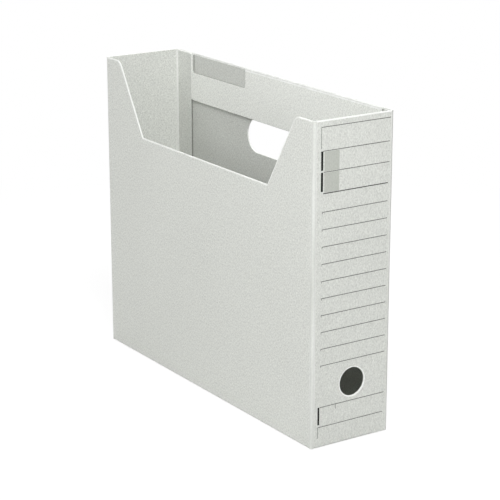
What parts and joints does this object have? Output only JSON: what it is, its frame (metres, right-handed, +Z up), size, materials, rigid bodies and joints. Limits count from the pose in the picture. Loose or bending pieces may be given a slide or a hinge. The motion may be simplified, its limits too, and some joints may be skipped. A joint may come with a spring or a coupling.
{
  "type": "file box",
  "caption": "Tall narrow open-top file box folded from grey board, with a dipped near side, a hemmed far edge, a hand hole, and a finger hole low on its label spine.",
  "frame": {"origin": "middle of the base, on the surface that the box stands on", "axes": "+Z up, +X out through the spine with the label field, -Y out through the dipped near side"},
  "size_m": [0.318, 0.076, 0.265],
  "materials": {
    "board": "matte",
    "board_crease": "matte, stretched at the fold"
  },
  "bodies": {
    "near_side": {"near_side_panel": "board", "near_spine_fold": "board_crease", "near_end_fold": "board_crease", "near_base_fold": "board_crease"},
    "spine": {"spine_panel": "board", "spine_far_fold": "board_crease", "spine_base_fold": "board_crease"},
    "far_side": {"far_side_panel": "board", "glue_flap": "board", "far_base_fold": "board_crease", "hem_fold": "board_crease", "hem_leg_fold": "board_crease"},
    "end": {"end_panel": "board", "end_glue_fold": "board_crease", "end_base_fold": "board_crease"},
    "near_base": {"near_base_flap": "board"},
    "far_base": {"far_base_flap": "board"},
    "spine_base": {"spine_dust_flap": "board"},
    "end_base": {"end_dust_flap": "board"},
    "hem": {"top_hem": "board"}
  },
  "joints": [
    {"name": "spine_corner", "type": "hinge", "parent": "near_side", "child": "spine", "pos_m": [0.1566, -0.0356, 0], "axis": [0, 0, -1], "range_deg": [0, 80], "deforming": ["near_spine_fold"]},
    {"name": "far_corner", "type": "hinge", "parent": "spine", "child": "far_side", "pos_m": [0.1566, 0.0356, 0], "axis": [0, 0, 1], "range_deg": [0, 80], "deforming": ["spine_far_fold"]},
    {"name": "end_corner", "type": "hinge", "parent": "near_side", "child": "end", "pos_m": [-0.1566, -0.0356, 0], "axis": [0, 0, -1], "range_deg": [0, 80], "deforming": ["near_end_fold", "end_glue_fold"]},
    {"name": "near_base_crease", "type": "hinge", "parent": "near_side", "child": "near_base", "pos_m": [0, -0.0364, 0.0016], "axis": [1, 0, 0], "range_deg": [0, 88], "deforming": ["near_base_fold"]},
    {"name": "far_base_crease", "type": "hinge", "parent": "far_side", "child": "far_base", "pos_m": [0, 0.0364, 0.0029], "axis": [-1, 0, 0], "range_deg": [0, 88], "deforming": ["far_base_fold"]},
    {"name": "spine_base_crease", "type": "hinge", "parent": "spine", "child": "spine_base", "pos_m": [0.1574, 0, 0.0016], "axis": [0, 1, 0], "range_deg": [0, 88], "deforming": ["spine_base_fold"]},
    {"name": "end_base_crease", "type": "hinge", "parent": "end", "child": "end_base", "pos_m": [-0.1574, 0, 0.0016], "axis": [0, -1, 0], "range_deg": [0, 88], "deforming": ["end_base_fold"]},
    {"name": "hem_crease", "type": "hinge", "parent": "far_side", "child": "hem", "pos_m": [0, 0.0367, 0.2637], "axis": [-1, 0, 0], "range_deg": [0, 170], "deforming": ["hem_fold", "hem_leg_fold"]}
  ],
  "couplings": [
    {"joint": "far_corner", "follows": "spine_corner", "ratio": 1},
    {"joint": "end_corner", "follows": "spine_corner", "ratio": 1},
    {"joint": "near_base_crease", "follows": "spine_corner", "ratio": 1.08},
    {"joint": "far_base_crease", "follows": "spine_corner", "ratio": 1.08},
    {"joint": "spine_base_crease", "follows": "spine_corner", "ratio": 1.08},
    {"joint": "end_base_crease", "follows": "spine_corner", "ratio": 1.08}
  ]
}
